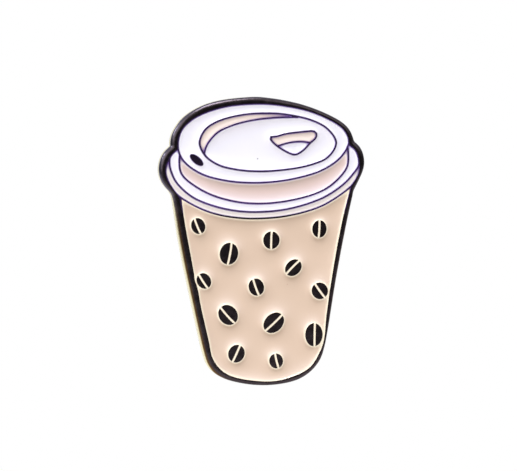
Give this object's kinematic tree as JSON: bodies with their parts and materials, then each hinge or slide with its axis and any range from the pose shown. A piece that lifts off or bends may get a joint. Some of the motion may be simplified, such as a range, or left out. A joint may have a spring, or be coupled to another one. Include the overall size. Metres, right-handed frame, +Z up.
{
  "type": "enamel pin",
  "caption": "Soft-enamel lapel pin shaped like a lidded takeaway coffee cup with raised coffee beans, held by nail posts and butterfly clutches that squeeze open and slide off.",
  "frame": {"origin": "on the plate's flat back, midway between the two posts", "axes": "+Z up the picture as worn, +X to the viewer's right, +Y backwards along the posts; the face looks along -Y"},
  "size_m": [0.0231, 0.0096, 0.0322],
  "materials": {
    "black_nickel": "black-nickel plating over struck metal, satin on the outline band, worn lighter on edges",
    "white_enamel": "baked white soft enamel, glossy, sunk below the metal lines",
    "cream_enamel": "baked cream soft enamel, glossy",
    "rose_enamel": "baked pale pink-beige soft enamel, glossy",
    "sand_enamel": "baked beige soft enamel, glossy",
    "post_plating": "black-nickel plating over steel wire",
    "solder": "solder under black-nickel plating, slightly rough",
    "clutch_nickel": "nickel-plated pressed sheet, lightly scuffed",
    "clutch_spring": "nickel-plated spring strip, lightly scuffed"
  },
  "bodies": {
    "pin": {"base_plate": "black_nickel", "enamel_cup_body": "sand_enamel", "enamel_lid_lip": "cream_enamel", "enamel_lid_skirt": "white_enamel", "enamel_lid_wall": "rose_enamel", "enamel_lid_rim": "white_enamel", "enamel_lid_crescent": "sand_enamel", "enamel_lid_recess": "white_enamel", "enamel_tab_upper": "sand_enamel", "enamel_tab_lower": "white_enamel", "upper_post": "post_plating", "upper_post_solder": "solder", "lower_post": "post_plating", "lower_post_solder": "solder"},
    "upper_clutch": {"upper_clutch_cap": "clutch_nickel", "upper_clutch_spring": "clutch_spring"},
    "upper_right_wing": {"upper_clutch_right_wing": "clutch_spring"},
    "upper_left_wing": {"upper_clutch_left_wing": "clutch_spring"},
    "lower_clutch": {"lower_clutch_cap": "clutch_nickel", "lower_clutch_spring": "clutch_spring"},
    "lower_right_wing": {"lower_clutch_right_wing": "clutch_spring"},
    "lower_left_wing": {"lower_clutch_left_wing": "clutch_spring"}
  },
  "joints": [
    {"name": "upper_clutch_slide", "type": "slide", "parent": "pin", "child": "upper_clutch", "axis": [0, 1, 0], "range_m": [-0.0019, 0.0058]},
    {"name": "upper_right_squeeze", "type": "slide", "parent": "upper_clutch", "child": "upper_right_wing", "axis": [-1, 0, 0], "range_m": [0, 0.0005], "stiffness_N_per_m": 300, "springref_m": -0.0005},
    {"name": "upper_left_squeeze", "type": "slide", "parent": "upper_clutch", "child": "upper_left_wing", "axis": [1, 0, 0], "range_m": [0, 0.0005], "stiffness_N_per_m": 300, "springref_m": -0.0005},
    {"name": "lower_clutch_slide", "type": "slide", "parent": "pin", "child": "lower_clutch", "axis": [0, 1, 0], "range_m": [-0.0019, 0.0058]},
    {"name": "lower_right_squeeze", "type": "slide", "parent": "lower_clutch", "child": "lower_right_wing", "axis": [-1, 0, 0], "range_m": [0, 0.0005], "stiffness_N_per_m": 300, "springref_m": -0.0005},
    {"name": "lower_left_squeeze", "type": "slide", "parent": "lower_clutch", "child": "lower_left_wing", "axis": [1, 0, 0], "range_m": [0, 0.0005], "stiffness_N_per_m": 300, "springref_m": -0.0005}
  ],
  "couplings": [
    {"joint": "upper_left_squeeze", "follows": "upper_right_squeeze", "ratio": 1},
    {"joint": "lower_left_squeeze", "follows": "lower_right_squeeze", "ratio": 1}
  ]
}
